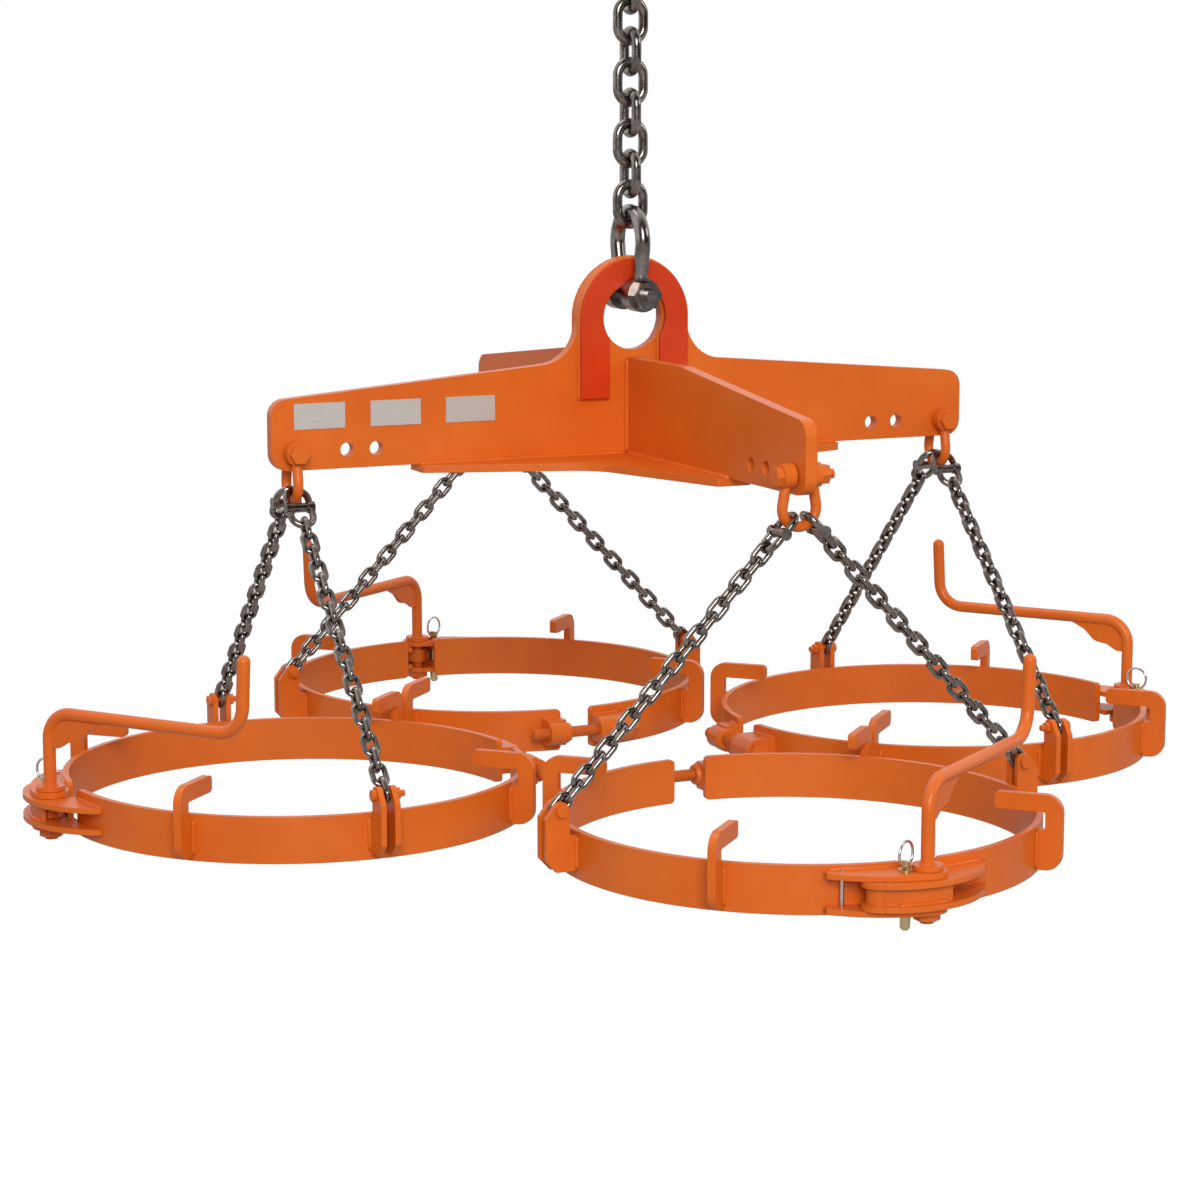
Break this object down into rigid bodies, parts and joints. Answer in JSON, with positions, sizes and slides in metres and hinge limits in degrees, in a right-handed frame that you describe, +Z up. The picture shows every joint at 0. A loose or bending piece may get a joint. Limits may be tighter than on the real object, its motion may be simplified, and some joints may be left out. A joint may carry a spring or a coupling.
{
  "type": "drum lifter",
  "caption": "Crane-hung drum lifter: a cross-shaped spreader beam on a chain and shackle, with chain slings that carry split clamp rings closed by crank latches.",
  "frame": {"origin": "the crane hook's seat, at the top of the master link's opening, on the lifter's vertical centre line", "axes": "+X along the main plate towards the arm on the right of the picture, +Y away from the viewer along the cross wings, +Z up"},
  "size_m": [1.663, 1.663, 1.237],
  "materials": {
    "orange_paint": "semi-gloss orange paint",
    "red_paint": "semi-gloss red-orange paint",
    "chain_steel": "dark forged alloy steel",
    "zinc": "zinc-plated and yellow passivated",
    "bare_plate": "brushed"
  },
  "bodies": {
    "hoist_chain": {"master_link": "chain_steel", "top_chain": "chain_steel"},
    "hoist_shackle": {"master_shackle": "chain_steel"},
    "beam": {"main_beam": "orange_paint", "cross_wings": "orange_paint", "base_plate": "orange_paint", "eye_cheeks": "red_paint", "rating_plates": "bare_plate"},
    "shackle_right": {"shackle_right": "orange_paint"},
    "sling_right": {"chain_sling_right": "chain_steel"},
    "ring_right": {"ring_bands_right": "orange_paint", "rim_hooks_right": "orange_paint", "chain_lugs_right": "orange_paint", "ring_fasteners_right": "orange_paint", "lever_plates_right": "orange_paint", "claw_right": "orange_paint", "adjuster_sleeves_right": "orange_paint"},
    "adjuster_right": {"adjuster_bolt_right": "orange_paint"},
    "crank_right": {"crank_handle_right": "orange_paint"},
    "lock_pin_right": {"lock_pin_right": "zinc"},
    "lock_ring_right": {"lock_ring_right": "zinc"},
    "shackle_rear": {"shackle_rear": "orange_paint"},
    "sling_rear": {"chain_sling_rear": "chain_steel"},
    "ring_rear": {"ring_bands_rear": "orange_paint", "rim_hooks_rear": "orange_paint", "chain_lugs_rear": "orange_paint", "ring_fasteners_rear": "orange_paint", "lever_plates_rear": "orange_paint", "claw_rear": "orange_paint", "adjuster_sleeves_rear": "orange_paint"},
    "adjuster_rear": {"adjuster_bolt_rear": "orange_paint"},
    "crank_rear": {"crank_handle_rear": "orange_paint"},
    "lock_pin_rear": {"lock_pin_rear": "zinc"},
    "lock_ring_rear": {"lock_ring_rear": "zinc"},
    "shackle_left": {"shackle_left": "orange_paint"},
    "sling_left": {"chain_sling_left": "chain_steel"},
    "ring_left": {"ring_bands_left": "orange_paint", "rim_hooks_left": "orange_paint", "chain_lugs_left": "orange_paint", "ring_fasteners_left": "orange_paint", "lever_plates_left": "orange_paint", "claw_left": "orange_paint", "adjuster_sleeves_left": "orange_paint"},
    "adjuster_left": {"adjuster_bolt_left": "orange_paint"},
    "crank_left": {"crank_handle_left": "orange_paint"},
    "lock_pin_left": {"lock_pin_left": "zinc"},
    "lock_ring_left": {"lock_ring_left": "zinc"},
    "shackle_front": {"shackle_front": "orange_paint"},
    "sling_front": {"chain_sling_front": "chain_steel"},
    "ring_front": {"ring_bands_front": "orange_paint", "rim_hooks_front": "orange_paint", "chain_lugs_front": "orange_paint", "ring_fasteners_front": "orange_paint", "lever_plates_front": "orange_paint", "claw_front": "orange_paint", "adjuster_sleeves_front": "orange_paint"},
    "adjuster_front": {"adjuster_bolt_front": "orange_paint"},
    "crank_front": {"crank_handle_front": "orange_paint"},
    "lock_pin_front": {"lock_pin_front": "zinc"},
    "lock_ring_front": {"lock_ring_front": "zinc"}
  },
  "joints": [
    {"name": "hoist_shackle_rock", "type": "hinge", "parent": "hoist_chain", "child": "hoist_shackle", "pos_m": [0, 0, -0.4599], "axis": [1, 0, 0], "range_deg": [-15, 15]},
    {"name": "beam_swing", "type": "hinge", "parent": "hoist_shackle", "child": "beam", "pos_m": [0, 0, -0.5511], "axis": [0, 1, 0], "range_deg": [-15, 15]},
    {"name": "shackle_swing_right", "type": "hinge", "parent": "beam", "child": "shackle_right", "pos_m": [0.477, 0, -0.74], "axis": [0, -1, 0], "range_deg": [0, 25]},
    {"name": "sling_swing_right", "type": "hinge", "parent": "shackle_right", "child": "sling_right", "pos_m": [0.477, 0, -0.79626], "axis": [0, -1, 0], "range_deg": [0, 10]},
    {"name": "ring_tilt_right", "type": "hinge", "parent": "sling_right", "child": "ring_right", "pos_m": [0.477, 0, -1.12005], "axis": [0, -1, 0], "range_deg": [-3, 5]},
    {"name": "crank_turn_right", "type": "hinge", "parent": "ring_right", "child": "crank_right", "pos_m": [0.8015, -0.006, -1.17505], "axis": [0, 0, 1], "range_deg": [-150, 0]},
    {"name": "lock_pin_lift_right", "type": "slide", "parent": "ring_right", "child": "lock_pin_right", "axis": [0, 0, 1], "range_m": [0, 0.075]},
    {"name": "lock_ring_fold_right", "type": "hinge", "parent": "lock_pin_right", "child": "lock_ring_right", "pos_m": [0.8, -0.0335, -1.14605], "axis": [-0.5, 0.866, 0], "range_deg": [-60, 20]},
    {"name": "adjuster_turn_right", "type": "hinge", "parent": "ring_right", "child": "adjuster_right", "pos_m": [0.1585, 0, -1.17505], "axis": [0, 1, 0], "continuous": true},
    {"name": "shackle_swing_rear", "type": "hinge", "parent": "beam", "child": "shackle_rear", "pos_m": [0, 0.477, -0.74], "axis": [1, 0, 0], "range_deg": [0, 25]},
    {"name": "sling_swing_rear", "type": "hinge", "parent": "shackle_rear", "child": "sling_rear", "pos_m": [0, 0.477, -0.79626], "axis": [1, 0, 0], "range_deg": [0, 10]},
    {"name": "ring_tilt_rear", "type": "hinge", "parent": "sling_rear", "child": "ring_rear", "pos_m": [0, 0.477, -1.12005], "axis": [1, 0, 0], "range_deg": [-3, 5]},
    {"name": "crank_turn_rear", "type": "hinge", "parent": "ring_rear", "child": "crank_rear", "pos_m": [0.006, 0.8015, -1.17505], "axis": [0, 0, 1], "range_deg": [-150, 0]},
    {"name": "lock_pin_lift_rear", "type": "slide", "parent": "ring_rear", "child": "lock_pin_rear", "axis": [0, 0, 1], "range_m": [0, 0.075]},
    {"name": "lock_ring_fold_rear", "type": "hinge", "parent": "lock_pin_rear", "child": "lock_ring_rear", "pos_m": [0.0335, 0.8, -1.14605], "axis": [-0.866, -0.5, 0], "range_deg": [-60, 20]},
    {"name": "adjuster_turn_rear", "type": "hinge", "parent": "ring_rear", "child": "adjuster_rear", "pos_m": [0, 0.1585, -1.17505], "axis": [-1, 0, 0], "continuous": true},
    {"name": "shackle_swing_left", "type": "hinge", "parent": "beam", "child": "shackle_left", "pos_m": [-0.477, 0, -0.74], "axis": [0, 1, 0], "range_deg": [0, 25]},
    {"name": "sling_swing_left", "type": "hinge", "parent": "shackle_left", "child": "sling_left", "pos_m": [-0.477, 0, -0.79626], "axis": [0, 1, 0], "range_deg": [0, 10]},
    {"name": "ring_tilt_left", "type": "hinge", "parent": "sling_left", "child": "ring_left", "pos_m": [-0.477, 0, -1.12005], "axis": [0, 1, 0], "range_deg": [-3, 5]},
    {"name": "crank_turn_left", "type": "hinge", "parent": "ring_left", "child": "crank_left", "pos_m": [-0.8015, 0.006, -1.17505], "axis": [0, 0, 1], "range_deg": [-150, 0]},
    {"name": "lock_pin_lift_left", "type": "slide", "parent": "ring_left", "child": "lock_pin_left", "axis": [0, 0, 1], "range_m": [0, 0.075]},
    {"name": "lock_ring_fold_left", "type": "hinge", "parent": "lock_pin_left", "child": "lock_ring_left", "pos_m": [-0.8, 0.0335, -1.14605], "axis": [0.5, -0.866, 0], "range_deg": [-60, 20]},
    {"name": "adjuster_turn_left", "type": "hinge", "parent": "ring_left", "child": "adjuster_left", "pos_m": [-0.1585, 0, -1.17505], "axis": [0, -1, 0], "continuous": true},
    {"name": "shackle_swing_front", "type": "hinge", "parent": "beam", "child": "shackle_front", "pos_m": [0, -0.477, -0.74], "axis": [-1, 0, 0], "range_deg": [0, 25]},
    {"name": "sling_swing_front", "type": "hinge", "parent": "shackle_front", "child": "sling_front", "pos_m": [0, -0.477, -0.79626], "axis": [-1, 0, 0], "range_deg": [0, 10]},
    {"name": "ring_tilt_front", "type": "hinge", "parent": "sling_front", "child": "ring_front", "pos_m": [0, -0.477, -1.12005], "axis": [-1, 0, 0], "range_deg": [-3, 5]},
    {"name": "crank_turn_front", "type": "hinge", "parent": "ring_front", "child": "crank_front", "pos_m": [-0.006, -0.8015, -1.17505], "axis": [0, 0, 1], "range_deg": [-150, 0]},
    {"name": "lock_pin_lift_front", "type": "slide", "parent": "ring_front", "child": "lock_pin_front", "axis": [0, 0, 1], "range_m": [0, 0.075]},
    {"name": "lock_ring_fold_front", "type": "hinge", "parent": "lock_pin_front", "child": "lock_ring_front", "pos_m": [-0.0335, -0.8, -1.14605], "axis": [0.866, 0.5, 0], "range_deg": [-60, 20]},
    {"name": "adjuster_turn_front", "type": "hinge", "parent": "ring_front", "child": "adjuster_front", "pos_m": [0, -0.1585, -1.17505], "axis": [1, 0, 0], "continuous": true}
  ]
}
